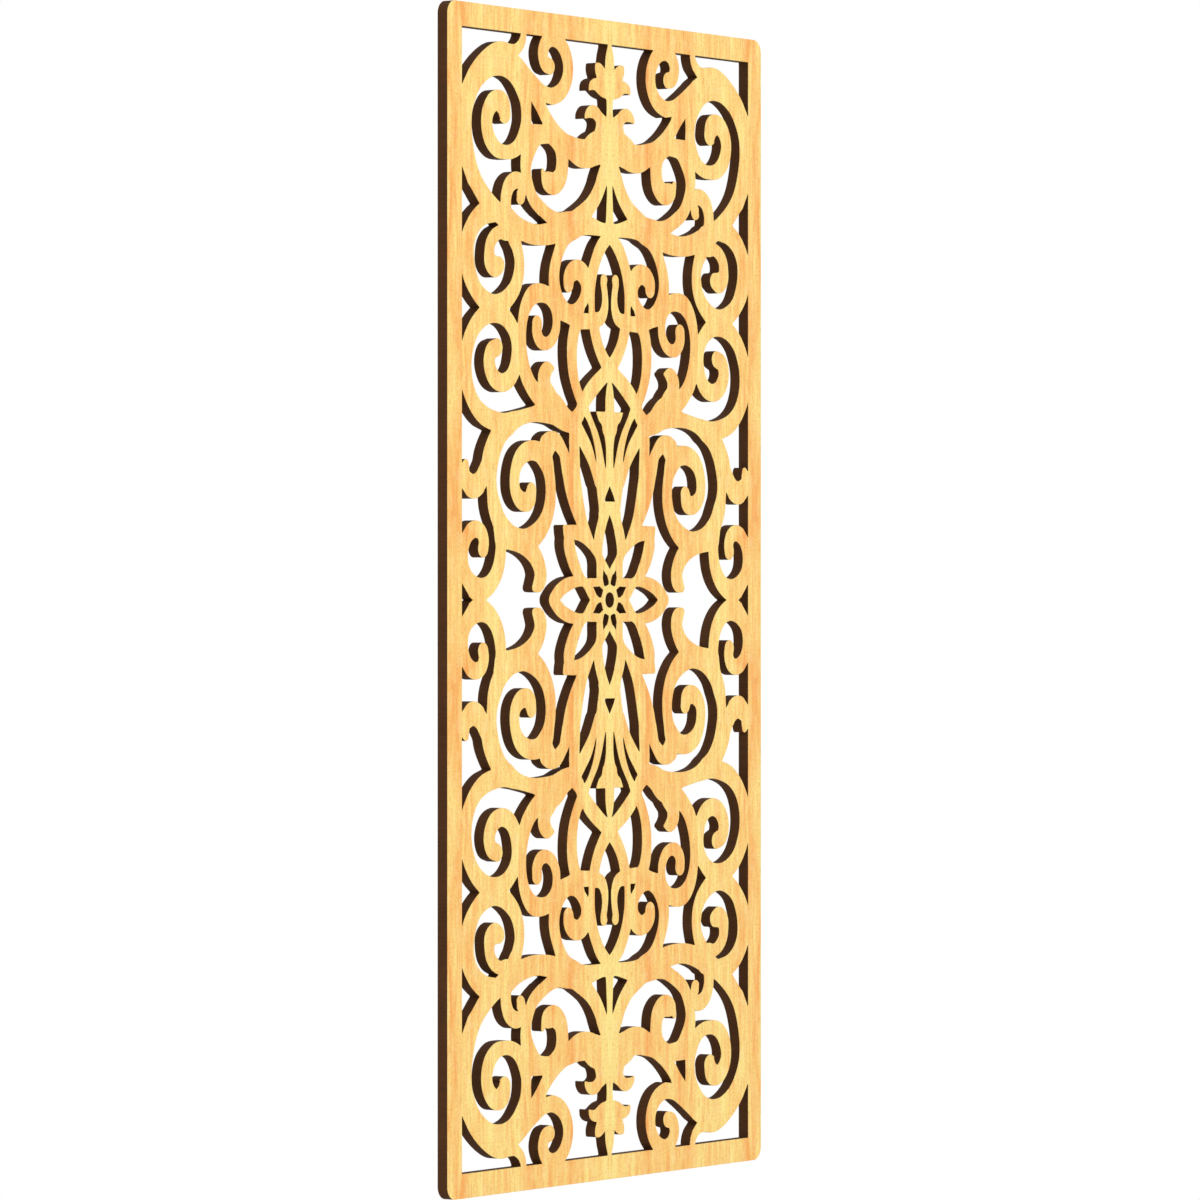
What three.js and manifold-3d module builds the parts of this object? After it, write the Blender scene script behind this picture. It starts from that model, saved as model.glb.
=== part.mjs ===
import * as THREE from "three";
import { mergeVertices } from "three/addons/utils/BufferGeometryUtils.js";
import Module from "manifold-3d";

// A tall wooden fretwork grille: one board, sawn through with a pattern of
// scrolls, leaves and petals that is the same in all four quarters.
// Millimetres, Z up, the show face towards -Y. The origin is the middle of
// the top rail's back, where the grille is fastened.

// Driving dimensions
const panelWidth = 600;
const panelHeight = 1260;
const boardThickness = 13;
const borderWidth = 26;
const cornerRadius = 14;
const eyeRadius = 8.4;
const eyeRingWidth = 8.2;

// The radius that the saw leaves where two ribbons meet, and how far it
// runs past the board's faces
const sawRadius = 1.5;
const sawOverrun = 1;

// How finely the outline is followed
const gridStep = 1;
const linkLength = 3;
const outlineTolerance = 1.12;
const cornerSegments = 6;

const woodColor = 0xf2c07c;

// Half of the open field inside the border, and the half field that the
// ribbons below are drawn in. They stretch from the one to the other.
const fieldHalfWidth = panelWidth / 2 - borderWidth;
const fieldHalfHeight = panelHeight / 2 - borderWidth;
const drawnHalfWidth = 274;
const drawnHalfHeight = 604;
const stretchX = fieldHalfWidth / drawnHalfWidth;
const stretchZ = fieldHalfHeight / drawnHalfHeight;
const stretchRibbon = Math.sqrt(stretchX * stretchZ);

// The ribbons of one quarter. Each knot is [x, z, half width]: x outwards
// from the long middle line, z up from the short one. A ribbon runs
// smoothly through its knots and has round ends.
const ribbons = {
  upperStem: [
    [0, 612, 2.4], [0, 600, 4.3], [0, 591, 7.2], [0, 582, 8.6], [0, 570, 9], [0, 553, 7.6],
    [0, 540, 5.8], [0, 527, 5.9], [0, 505, 8],
  ],
  lowerStem: [
    [0, 485, 8], [0, 468, 5], [0, 450, 4.9], [0, 430, 5.9], [0, 412, 7.1], [0, 398, 8.5],
  ],
  finialLeaf: [
    [2, 556, 9], [12, 566.5, 9.5], [19.5, 574.5, 8], [24.5, 579.5, 3.2],
  ],
  finialSideLeaf: [
    [0, 553, 9.3], [14, 556, 9.8], [26, 559, 7], [34, 557.5, 5], [38.6, 553, 1.4],
  ],
  stemLeaf: [
    [0, 508, 14], [13.5, 515.5, 11.5], [19.7, 522.6, 8], [28, 528.4, 7.6], [37, 528.5, 6.5],
    [43.5, 525, 3.8], [46.4, 521.8, 1.2],
  ],
  arm: [
    [0, 490.5, 18.5], [20, 491, 18.6], [30, 488.5, 18.1], [42, 483.8, 16.5], [56, 482.8, 15.5],
    [72, 487, 13.2], [88, 493.5, 10.6], [105, 504, 9.6], [121.5, 518.5, 9.1], [130, 528.5, 9.2],
    [141, 541.5, 11.5], [158, 553, 15],
  ],
  crownScroll: [
    [186, 402.5, 13.5], [208, 411, 11.5], [231, 425, 11.6], [247, 440, 11.3], [258.3, 454, 13],
    [265.5, 475, 12.6], [269.4, 500, 12.6], [267.8, 523, 14.1], [250.3, 551, 13.9], [226, 568.5, 15.7],
    [205, 574.5, 18.3], [192, 572.8, 18.2], [179, 563.4, 14.4], [167, 551.8, 13.5], [158.2, 533, 10.6],
    [156.6, 512, 9.4], [159.3, 499, 10.5], [164.8, 489.8, 10.1], [173, 482.2, 8.9], [185, 476.9, 8],
    [198, 475.8, 7.8], [212.3, 478.8, 9.2], [224.5, 489.7, 10.4], [229.3, 505, 10], [226.4, 518, 10.3],
    [217, 528, 11], [207, 530, 11.3], [200.5, 526.5, 12.8], [197, 517.3, 11.4],
  ],
  crownNeck: [
    [162, 610, 4.6], [162.4, 600, 5.3], [167.5, 591.2, 6.2], [180.5, 580.6, 9],
  ],
  topVolute: [
    [174.5, 564.5, 15.7], [158, 554, 15], [141, 546, 13.2], [126, 541.8, 10.4], [108, 540.8, 9.3],
    [90.6, 548.2, 9.6], [80.6, 562, 9.3], [79.2, 577, 9.2], [85.6, 591.5, 9.3], [97, 600.8, 9.2],
    [110, 602.9, 9.2], [120.7, 597.5, 9], [126, 586, 9.2], [121.8, 575, 9.1], [113.2, 572.5, 9],
  ],
  shoulderScroll: [
    [86, 492.5, 8.5], [104, 500, 11.2], [120, 499.4, 10.3], [137.5, 497.6, 12], [150.4, 484.6, 12.4],
    [157.5, 466, 10], [156.2, 452, 8.8], [145.3, 430.3, 8.8], [128, 418.3, 8.6], [109, 408.8, 9.8],
    [88, 402.5, 13.5],
  ],
  shoulderHook: [
    [98, 494.5, 12], [91, 483, 11.6], [90, 468, 11], [93.6, 455, 11.7], [104.5, 447.3, 12.2],
    [116, 448.4, 11.2], [122.5, 452.2, 6.2], [126, 458.8, 3.4],
  ],
  smallVolute: [
    [191, 402, 9.5], [194.8, 414, 10.6], [194.3, 427, 9.5], [188.6, 440.3, 9.6], [177, 446.9, 9.3],
    [167, 445.5, 8.5], [164.3, 438, 7.2], [167.5, 429.6, 8.2],
  ],
  beam: [
    [0, 401.5, 9], [12, 402, 7.5], [28, 404.2, 8.6], [42, 406, 10.5], [54, 407.3, 13.1], [68, 405, 14.6],
    [90, 401.7, 15.1], [108, 395.7, 13.7], [125, 391.4, 11.6], [145, 391.1, 11.3], [165, 394.8, 11.7],
    [186, 402.5, 12],
  ],
  shoulderBrace: [
    [0, 477, 9], [7.5, 467, 10.8], [13.5, 456.6, 10.9], [18.6, 447.9, 10], [26.6, 436.8, 9.9],
    [37.2, 426.5, 10.1], [54, 414.5, 12],
  ],
  middleScroll: [
    [178, 398, 10], [181, 388.5, 10.7], [174.3, 376.5, 9.4], [169.5, 361, 8.7], [171.4, 345, 9.5],
    [178, 332.2, 9.9], [188.5, 322.5, 10.5], [200.5, 315.5, 11.3], [216, 312.3, 11.8], [233, 317, 11.2],
    [249, 328, 10.7], [259.5, 342.5, 12.1], [265, 360, 12.8], [263.5, 379, 12.3], [256.5, 391.8, 11.7],
    [247.3, 401.2, 11.8], [234, 408.8, 12.1], [216, 412, 11.6],
  ],
  middleHook: [
    [180, 397, 11], [193, 391.3, 9.7], [205, 390.3, 7.5], [215, 385.8, 7.9], [222.3, 377.5, 8.4],
    [224.3, 366.5, 9.2], [222, 357.5, 10.9], [214.5, 353.6, 11.7], [206.3, 355.2, 9.3],
  ],
  lyreScroll: [
    [66, 403.5, 15], [80, 394.8, 12.2], [90.8, 384.2, 9.2], [98.3, 370.7, 8.8], [104.1, 356, 9.3],
    [105.2, 342, 9.9], [101, 327.8, 10.5], [91.5, 316, 10.4], [79, 310.1, 9.4], [65.5, 312.2, 7.9],
    [53.2, 320.7, 7.8], [45.3, 332, 9.2], [45, 343, 10.2], [51, 352.6, 11.6], [61, 356.5, 11.2],
    [71.3, 353.7, 10.9], [77.3, 347.2, 10], [78.2, 340.3, 9],
  ],
  lyreStrap: [
    [93, 311, 10], [77, 306.2, 9], [62, 302.3, 9.4], [46, 301.6, 8.8], [32, 303, 9], [22.5, 304, 7.6],
  ],
  lilyArc: [
    [0, 394.6, 7.3], [7, 391.2, 8.1], [17.5, 382, 8.9], [26.7, 368, 8.7], [33.7, 352, 9], [37.2, 336, 8.9],
    [35.2, 322, 6.4], [33.7, 308, 5.3],
  ],
  stamen: [
    [24.5, 303, 8], [15.3, 307, 7.9], [10, 316, 6.8], [8.7, 326, 5.7], [10, 336, 5.4], [11.6, 343, 5.7],
    [11, 347.7, 6.3],
  ],
  calyx: [
    [31, 303, 9], [27.8, 290, 8.9], [22.2, 276.5, 8.7], [12.7, 263, 9], [0, 250.5, 9.8],
  ],
  crossing: [
    [0, 250.5, 9.8], [15, 241.3, 9.5], [27, 233.3, 10.1], [39, 223.8, 10.2], [48, 214.5, 9.4],
    [54, 207, 9],
  ],
  outerPetal: [
    [58, 303, 9.5], [65.8, 293.5, 9.6], [70.6, 279, 9.5], [71.7, 263, 9.1], [69.4, 245, 8.5],
    [63.5, 229.3, 7.7], [55.2, 216.5, 7.8], [47, 206.5, 7], [40.8, 199, 5.2], [34.3, 190, 4.8],
    [28, 180, 5.5], [23.5, 170, 6], [20.2, 160, 6.5], [17.5, 148, 7.4], [15, 136, 8.7],
  ],
  vase: [
    [0, 131.5, 9], [0, 146, 6.9], [0, 156, 6.8], [0, 165, 7], [0, 174, 8.5], [0, 183, 11.2],
    [0, 190, 15.2],
  ],
  vaseShoulder: [
    [0, 196, 8.5], [14, 197.8, 6.7], [20, 200.8, 3.7], [24.4, 203.4, 1.1],
  ],
  spire: [
    [0, 196, 8.2], [0, 217, 8.1], [0, 228, 6.3], [0, 238, 3.4], [0, 247, 4],
  ],
  mainStem: [
    [60, 200, 8.5], [65.3, 189, 9.8], [67.2, 174, 9.7], [67.8, 162, 10.1], [73, 147.5, 16.2],
    [72, 133, 16], [68.4, 120, 15.2], [64.5, 109, 13.8], [60, 98.5, 12.1], [54.8, 88, 10.1],
    [49.2, 78.5, 9], [42.3, 68.3, 8.3], [34.5, 60.4, 5.6], [26.5, 55, 5.6],
  ],
  lobe: [
    [77, 139, 13], [83, 149, 9.9], [88.4, 159.3, 8.2], [101.3, 170.3, 9.9], [114.7, 171.2, 9.7],
    [121.8, 167.9, 9.7],
  ],
  lobeWeb: [
    [112, 163, 4.5], [117, 157, 8.5],
  ],
  sideLeaf: [
    [63.7, 187.2, 9.6], [54.7, 177.7, 9.4], [43.3, 164.7, 9], [37.8, 156.8, 7.9], [33, 148.6, 6.7],
    [28.3, 140.2, 6.6], [22, 129, 7.2],
  ],
  innerSepal: [
    [20.6, 138, 9.4], [16.5, 128.5, 10], [14, 119, 10.3], [16, 111.5, 6.8], [14.6, 104, 6.6], [12.1, 94, 8.2],
    [13, 86, 8.8], [17.2, 76.5, 8.6], [20.6, 66.5, 8.7], [22, 57, 8.2], [20, 47, 6.6], [12.2, 37.7, 6.2],
    [4, 31.6, 4.6],
  ],
  sepalBridge: [
    [0, 99.6, 8.2], [8, 98.5, 8.4], [14, 93, 7],
  ],
  mainArc: [
    [58, 200, 9], [71, 191.8, 11], [86, 195, 13.3], [104, 201.5, 14], [122, 202, 12.4], [141, 199, 8.8],
    [156, 196.6, 8.1], [171, 193.2, 8.9], [188, 187.3, 12], [204, 177.4, 13.1], [215.9, 163, 14.1],
    [223.2, 146, 14.6], [223.2, 128, 11.6], [219.3, 113, 9.7], [214.9, 99, 11.7], [207.6, 85.6, 12],
    [192.5, 73, 11.5], [176.5, 66, 11.6], [160, 64.3, 11.7], [144.5, 67.3, 12.6], [134.5, 72.6, 12.1],
    [125.5, 80.2, 11.2], [117.2, 91.7, 10.3], [112.3, 106.5, 9.7], [111.7, 121.5, 9.2], [114.9, 137, 9.8],
    [121.2, 150, 12.6], [134, 158.2, 11.4], [148, 159.8, 10.8], [159, 157.2, 10.7], [168.8, 151.1, 10.1],
    [175.8, 140.7, 9], [178.6, 127, 8.7], [176.5, 115.5, 9.1], [169.4, 107.7, 10.1], [160, 104.6, 10.5],
    [151.2, 106.7, 10.7], [147.2, 117.1, 8.7],
  ],
  innerScroll: [
    [84, 195, 11.5], [100, 206.5, 14], [116, 213.5, 13.5], [133.5, 218.8, 11.8], [147, 227.9, 10.6],
    [157, 240, 10.6], [163.2, 255, 10.1], [166, 272, 9.1], [165, 289, 8], [161.8, 304.4, 8.8],
    [155, 317.1, 10], [144, 326.2, 11], [129.5, 328.7, 10.2], [115, 325.7, 9.6], [104.2, 316.2, 8.8],
    [100.9, 303, 7], [101.8, 291, 7.3], [108.8, 279.9, 7.3], [120.5, 274.8, 7.2], [131, 277.4, 8.2],
    [137, 286, 8.6], [136.8, 295.7, 8.9],
  ],
  spur: [
    [113.5, 218, 12.6], [122.3, 229, 11.4], [123.3, 240.5, 11.2], [117.6, 247.1, 8.8], [107, 248.8, 2.2],
  ],
  lowerScroll: [
    [188, 187, 12], [203, 187.5, 11.4], [218, 190.3, 10.9], [235, 195.5, 10.9], [248, 203.9, 10.4],
    [258, 215.2, 10.2], [265.3, 230, 10.8], [267.8, 246, 11], [266.2, 260.5, 10.9], [261.3, 273.3, 10.7],
    [254.3, 284.5, 10.3], [243.5, 294.8, 10.6], [229.5, 302.4, 11.2], [213, 305.3, 11.6],
    [198, 301.8, 10.7], [185.5, 293.2, 9.9], [176.3, 281.5, 10.2], [172.4, 267.5, 11], [174.5, 254, 11],
    [178.8, 244.8, 10.2], [187.3, 235.2, 10.1], [202, 230.6, 10], [216.8, 236.2, 10.4], [224.5, 251, 10.2],
    [220.8, 263.3, 10.1], [210, 268.1, 9.5],
  ],
  edgeArch: [
    [228, 139, 13], [240, 125.5, 12.5], [253, 119.8, 13], [266, 124.6, 12.2], [278, 132.5, 12.3],
  ],
  edgeThorn: [
    [277, 129, 12], [270.3, 135.2, 9.4], [266.7, 143.8, 4.8],
  ],
  edgeScroll: [
    [208, 85, 10], [206.2, 73, 9.8], [203.7, 60, 9.3], [204.3, 47.5, 9.7], [208, 34.5, 10.2],
    [215, 23.5, 10.5], [226, 14.8, 11.1], [243, 10.5, 13], [259.8, 17.7, 12], [271, 29.5, 11.6],
    [274.8, 46, 11.4], [270.7, 60.5, 10.6], [262, 70, 9.5], [249.6, 74.9, 9.2], [238.8, 71.3, 9.1],
    [234.4, 61.5, 9], [235.7, 54, 9.1],
  ],
  tendril: [
    [203, 66, 11.5], [190, 65.5, 12], [172, 63.5, 12.7], [155, 56.8, 11.8], [140.5, 46.9, 11.4],
    [132.5, 35.5, 11], [130.3, 26, 11], [132.6, 19.3, 10.5], [141.2, 13.2, 4.7],
  ],
  widePetal: [
    [106, 0, 8.6], [98.2, 7.3, 8.6], [89.2, 12.9, 8.1], [78.7, 16.8, 7.6], [67, 19.3, 6.4],
    [56, 20, 5.4], [49, 19.7, 5.6], [43, 16, 6.4], [36.4, 9, 6.8], [30.5, 2, 6.2], [26, -3, 4],
  ],
  slantPetal: [
    [19, 28, 6.2], [19, 40, 6.1], [21.5, 48.3, 6.1], [31.3, 57.2, 6], [41, 65, 7.6], [52.5, 71, 8.6],
    [65, 72.8, 8.3], [74, 70.5, 8.8], [77.2, 61.5, 9.9], [71.2, 45, 9.7], [63.9, 33.5, 8.7],
    [55.5, 23.8, 7], [46, 19, 4.8], [35, 18.8, 4.9], [24, 18.8, 4.8],
  ],
  slantPetalTip: [
    [70, 74, 7], [75.8, 70.8, 10.1], [85.7, 78.1, 2.9],
  ],
  slantVein: [
    [9, 9, 4], [14.5, 15.3, 3.8], [19, 22, 6],
  ],
  wideVein: [
    [12, 0, 3.2], [20, 0, 2.8], [27.5, 0, 6],
  ],
  tallVein: [
    [0, 12, 4], [0, 18, 1.5], [0, 25, 3.7], [0, 31, 5.8],
  ],
};

// The ribbon as a chain of short straight links between discs: each point
// carries its place in the panel's plane in x and y, and its radius in z.
function ribbonLinks(knots) {
  const path = new THREE.CatmullRomCurve3(knots.map(([x, z, halfWidth]) =>
    new THREE.Vector3(x * stretchX, z * stretchZ, halfWidth * stretchRibbon)), false, "centripetal");
  return path.getSpacedPoints(Math.ceil(path.getLength() / linkLength));
}

// How far a spot lies outside a link, or below zero inside it
function linkClearance(from, to, x, z) {
  const [runX, runZ] = [to.x - from.x, to.y - from.y];
  const along = ((x - from.x) * runX + (z - from.y) * runZ) / (runX * runX + runZ * runZ);
  const share = THREE.MathUtils.clamp(along, 0, 1);
  const radius = THREE.MathUtils.lerp(from.z, to.z, share);
  return Math.hypot(x - from.x - runX * share, z - from.y - runZ * share) - radius;
}

// The lesser of two clearances, eased where they are close, which rounds
// the corner between two edges.
function softMin(a, b) {
  const blend = 4 * sawRadius;
  const closeness = Math.max(blend - Math.abs(a - b), 0) / blend;
  return Math.min(a, b) - closeness * closeness * blend / 8;
}

// One quarter of the field as a grid of clearances: above zero in an
// opening, below zero in wood.
const columns = Math.ceil(fieldHalfWidth / gridStep) + 1;
const rows = Math.ceil(fieldHalfHeight / gridStep) + 1;
const nodeIndex = (column, row) => Math.abs(row) * (columns + 1) + Math.abs(column);

function ribbonClearances(knots) {
  const clearances = new Float32Array((columns + 1) * (rows + 1)).fill(Infinity);
  const points = ribbonLinks(knots);
  points.slice(1).forEach((to, i) => {
    const from = points[i];
    const margin = Math.max(from.z, to.z) + 6 * sawRadius + gridStep;
    const firstColumn = Math.max(0, Math.floor((Math.min(from.x, to.x) - margin) / gridStep));
    const lastColumn = Math.min(columns, Math.ceil((Math.max(from.x, to.x) + margin) / gridStep));
    const firstRow = Math.max(0, Math.floor((Math.min(from.y, to.y) - margin) / gridStep));
    const lastRow = Math.min(rows, Math.ceil((Math.max(from.y, to.y) + margin) / gridStep));
    for (let row = firstRow; row <= lastRow; row += 1) {
      for (let column = firstColumn; column <= lastColumn; column += 1) {
        const node = nodeIndex(column, row);
        const clearance = linkClearance(from, to, column * gridStep, row * gridStep);
        clearances[node] = Math.min(clearances[node], clearance);
      }
    }
  });
  return clearances;
}

function quarterClearances() {
  const layers = Object.values(ribbons).map(ribbonClearances);
  const ringRadius = eyeRadius + eyeRingWidth / 2;
  const clearances = new Float32Array((columns + 1) * (rows + 1));
  for (let row = 0; row <= rows; row += 1) {
    for (let column = 0; column <= columns; column += 1) {
      const node = nodeIndex(column, row);
      const fromMiddle = Math.hypot(column, row) * gridStep;
      const border = Math.min(fieldHalfWidth - column * gridStep, fieldHalfHeight - row * gridStep);
      const ring = Math.abs(fromMiddle - ringRadius) - eyeRingWidth / 2;
      const ribbon = [ring, ...layers.map((layer) => layer[node])].reduce(softMin);
      clearances[node] = Math.max(Math.min(ribbon, border), eyeRadius - fromMiddle);
    }
  }
  return clearances;
}

// Follows the line where the clearance is zero, cell by cell, with the
// opening on the left. Returns each opening as a closed loop of points.
function openingLoops() {
  const clearances = quarterClearances();
  const valueAt = ([column, row]) => clearances[nodeIndex(column, row)];
  const points = new Map();
  const next = new Map();
  for (let row = -rows; row < rows; row += 1) {
    for (let column = -columns; column < columns; column += 1) {
      const corners = [[column, row], [column + 1, row], [column + 1, row + 1], [column, row + 1]];
      const values = corners.map(valueAt);
      const open = values.map((value) => value > 0);
      if (open.every(Boolean) || !open.some(Boolean)) {
        continue;
      }
      const centreOpen = values.reduce((sum, value) => sum + value) > 0;
      const crossings = [0, 1, 2, 3].map((side) => {
        const other = (side + 1) % 4;
        if (open[side] === open[other]) {
          return null;
        }
        const [start, end] = [corners[side], corners[other]];
        const share = values[side] / (values[side] - values[other]);
        const key = `${start[0] + end[0]},${start[1] + end[1]}`;
        points.set(key, new THREE.Vector2(...start).lerp(new THREE.Vector2(...end), share)
          .multiplyScalar(gridStep));
        return { key, leaving: open[side] };
      });
      crossings.forEach((crossing, side) => {
        if (crossing?.leaving) {
          const turns = centreOpen ? [1, 2, 3] : [3, 2, 1];
          const partner = turns.map((turn) => crossings[(side + turn) % 4])
            .find((candidate) => candidate && !candidate.leaving);
          next.set(crossing.key, partner.key);
        }
      });
    }
  }
  const loops = [];
  while (next.size > 0) {
    const loop = [];
    let key = next.keys().next().value;
    while (next.has(key)) {
      loop.push(points.get(key));
      const following = next.get(key);
      next.delete(key);
      key = following;
    }
    loops.push(loop);
  }
  return loops;
}

// How far each point lies to the left of the line from the first to the last
function offsetsFromChord(points) {
  const start = points[0];
  const end = points[points.length - 1];
  const across = new THREE.Vector2(start.y - end.y, end.x - start.x).normalize();
  return points.map((point) => point.clone().sub(start).dot(across));
}

function indexOfLargest(values) {
  return values.reduce((best, value, i) => (Math.abs(value) > Math.abs(values[best]) + 1e-4 ? i : best), 0);
}

// Splits a run of points into chords that stay within the tolerance. Each
// is returned as its start and its bulge, the largest offset along it.
function chords(points) {
  const offsets = offsetsFromChord(points);
  const split = indexOfLargest(offsets);
  if (Math.abs(offsets[split]) < outlineTolerance) {
    return [{ start: points[0], bulge: offsets[split] }];
  }
  return [...chords(points.slice(0, split + 1)), ...chords(points.slice(split))];
}

// A loop as few points, split first at the point farthest from the panel's
// middle and the one farthest from that, so that openings which mirror
// each other keep mirrored points. Where both chords at a point bulge the
// same way, it moves out by half the lesser bulge, so that the chords lie
// as much inside the curve as outside.
function tidyLoop(loop) {
  const first = indexOfLargest(loop.map((point) => point.length()));
  const ordered = [...loop.slice(first), ...loop.slice(0, first + 1)];
  const second = indexOfLargest(ordered.map((point) => point.distanceTo(ordered[0])));
  const kept = [...chords(ordered.slice(0, second + 1)), ...chords(ordered.slice(second))];
  return kept.map(({ start, bulge }, i) => {
    const before = kept.at(i - 1);
    const after = kept[(i + 1) % kept.length];
    if (before.bulge * bulge <= 0) {
      return start;
    }
    const run = after.start.clone().sub(before.start).normalize();
    const shift = Math.sign(bulge) * Math.min(Math.abs(bulge), Math.abs(before.bulge)) / 2;
    return new THREE.Vector2(start.x - run.y * shift, start.y + run.x * shift);
  });
}

function boardShape() {
  const x = panelWidth / 2 - cornerRadius;
  const z = panelHeight / 2 - cornerRadius;
  const shape = new THREE.Shape();
  shape.absarc(x, -z, cornerRadius, -Math.PI / 2, 0);
  shape.absarc(x, z, cornerRadius, 0, Math.PI / 2);
  shape.absarc(-x, z, cornerRadius, Math.PI / 2, Math.PI);
  shape.absarc(-x, -z, cornerRadius, Math.PI, 1.5 * Math.PI);
  return shape;
}

const wasm = await Module();
wasm.setup();

// A flat plate with the board's thickness and place, longer at front and
// back by the overrun. The board's back is in the plane y = 0, and the
// middle of its top rail at the origin.
function plate(shape, overrun) {
  const geometry = new THREE.ExtrudeGeometry(shape, {
    depth: boardThickness + 2 * overrun,
    bevelEnabled: false,
    curveSegments: cornerSegments,
  });
  geometry.rotateX(Math.PI / 2);
  geometry.translate(0, overrun, -(panelHeight - borderWidth) / 2);
  geometry.deleteAttribute("normal");
  geometry.deleteAttribute("uv");
  const merged = mergeVertices(geometry, 1e-4);
  return new wasm.Manifold(new wasm.Mesh({
    numProp: 3,
    vertProperties: Float32Array.from(merged.attributes.position.array),
    triVerts: Uint32Array.from(merged.index.array),
  }));
}

function grilleGeometry() {
  const openings = openingLoops().map((loop) => plate(new THREE.Shape(tidyLoop(loop)), sawOverrun));
  const sawn = plate(boardShape(), 0).subtract(wasm.Manifold.union(openings)).getMesh();
  const geometry = new THREE.BufferGeometry();
  geometry.setAttribute("position", new THREE.BufferAttribute(sawn.vertProperties, 3));
  geometry.setIndex(new THREE.BufferAttribute(sawn.triVerts, 1));
  geometry.computeVertexNormals();
  return geometry;
}

const wood = new THREE.MeshStandardMaterial({ color: woodColor, roughness: 0.55, metalness: 0 });
const grille = new THREE.Mesh(grilleGeometry(), wood);
grille.name = "fretwork_board";

const part = new THREE.Group();
part.add(grille);

export default part;
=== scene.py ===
# A tall fretwork grille: one board, sawn through with scrolls, leaves and a rosette.
import math
import bmesh
import bpy
import numpy as np
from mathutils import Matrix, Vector


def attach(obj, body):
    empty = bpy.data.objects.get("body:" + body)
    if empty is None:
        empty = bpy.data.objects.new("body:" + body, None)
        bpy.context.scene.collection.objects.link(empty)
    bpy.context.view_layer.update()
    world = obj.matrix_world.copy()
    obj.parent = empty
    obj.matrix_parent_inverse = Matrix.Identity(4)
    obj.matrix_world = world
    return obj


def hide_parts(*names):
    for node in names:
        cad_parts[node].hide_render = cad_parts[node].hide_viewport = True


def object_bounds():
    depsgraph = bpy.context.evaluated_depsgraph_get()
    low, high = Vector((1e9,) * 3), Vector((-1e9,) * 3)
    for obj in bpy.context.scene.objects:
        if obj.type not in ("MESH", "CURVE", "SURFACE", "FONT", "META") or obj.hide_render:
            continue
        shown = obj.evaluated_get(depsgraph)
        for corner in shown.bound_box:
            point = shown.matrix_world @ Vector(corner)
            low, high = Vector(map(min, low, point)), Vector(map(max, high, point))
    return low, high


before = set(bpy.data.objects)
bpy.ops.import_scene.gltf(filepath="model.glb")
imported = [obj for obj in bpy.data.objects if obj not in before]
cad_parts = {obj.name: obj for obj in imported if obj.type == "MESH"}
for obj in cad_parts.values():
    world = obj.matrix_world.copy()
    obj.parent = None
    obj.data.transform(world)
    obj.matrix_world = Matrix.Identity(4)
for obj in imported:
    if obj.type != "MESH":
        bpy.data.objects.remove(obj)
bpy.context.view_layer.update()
print("frame loaded")

# Sizes of the board, in millimetres
board = {
    "width": 600,
    "height": 1260,
    "thickness": 13,
    "borderWidth": 26,
    "cornerRadius": 14,
    "cornerLinks": 18,  # chords round each outer corner
    "eyeRadius": 8.4,
    "eyeRingWidth": 8.2,
    "sawRadius": 0.6,   # left by the saw where two ribbons meet
    "arris": 0.4,       # the sanded edge of the show face
    "gridStep": 0.5,    # how finely the outline is found
    "curvePoints": 24,  # from knot to knot of a ribbon, before it is evenly divided
    "linkLength": 2,    # of the evenly divided ribbon
    "tolerance": 0.04,  # how closely the chords follow the outline
    "weld": 0.002,      # points closer than this become one
    "sharpTurn": 32,    # degrees; edges that turn less are shaded smooth
}
boardMiddle = -(board["height"] - board["borderWidth"]) / 2000  # in metres, below the origin on the top rail
fieldHalf = np.array([board["width"] / 2, board["height"] / 2]) - board["borderWidth"]

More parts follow.
